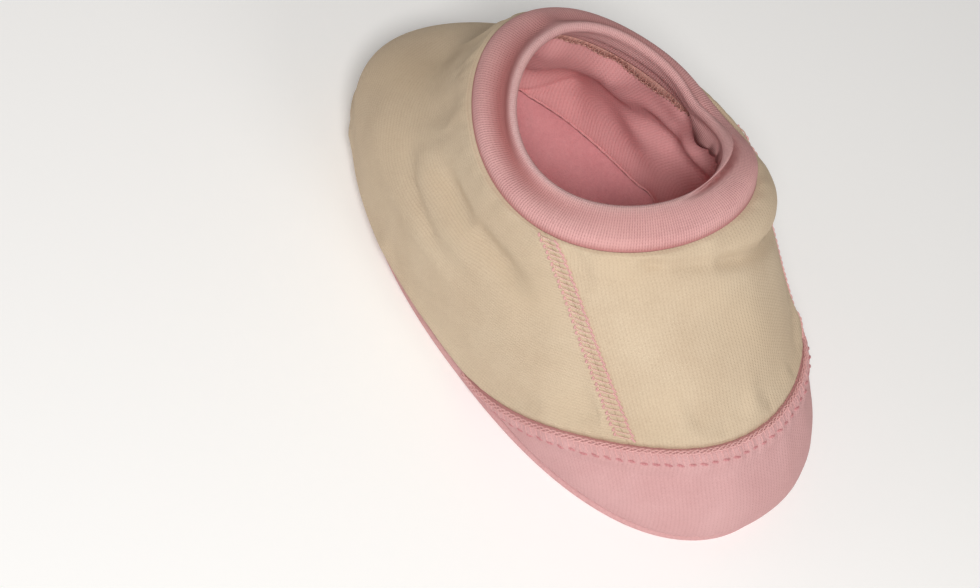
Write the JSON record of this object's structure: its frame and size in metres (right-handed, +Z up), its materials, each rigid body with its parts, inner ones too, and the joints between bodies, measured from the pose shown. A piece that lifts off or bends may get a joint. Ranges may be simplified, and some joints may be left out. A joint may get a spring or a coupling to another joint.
{
  "type": "baby bootie",
  "caption": "Soft knitted baby bootie with a rounded toe cap, flatlocked side seams, a folded rib collar and a padded flat sole.",
  "frame": {"origin": "on the floor under the middle of the bootie's box", "axes": "toe to -Y, heel to +Y, +Z up, the collar opening faces up"},
  "size_m": [0.073, 0.1278, 0.0599],
  "materials": {
    "cream_knit": "fine cream cotton interlock knit, matt, slightly fuzzy",
    "pink_knit": "fine pale pink cotton interlock knit, matt, slightly fuzzy",
    "pink_rib": "pale pink fine rib knit, matt, fuzzy at the fold",
    "rose_lining": "rose pink brushed cotton knit lining, matt",
    "insole_fleece": "rose pink brushed fleece, soft nap",
    "pink_thread": "pink polyester sewing thread, slight sheen",
    "tan_thread": "tan overlock thread, slight sheen",
    "wadding": "white polyester wadding"
  },
  "bodies": {
    "root": {"sole_outer": "pink_knit", "sole_wadding": "wadding", "insole": "insole_fleece", "insole_edge_stitching": "pink_thread", "sole_seam_overlock": "pink_thread", "toe_cap": "pink_knit", "toe_seam_allowance": "pink_knit", "toe_seam_loop_row": "pink_thread", "toe_seam_dash_row": "pink_thread", "vamp_panel": "cream_knit", "quarter_panel": "cream_knit", "side_seam_stitching_left": "pink_thread", "side_seam_stitching_right": "pink_thread", "vamp_lining": "rose_lining", "quarter_lining": "rose_lining", "collar_band": "pink_rib", "collar_seam_overlock": "tan_thread"}
  },
  "joints": []
}
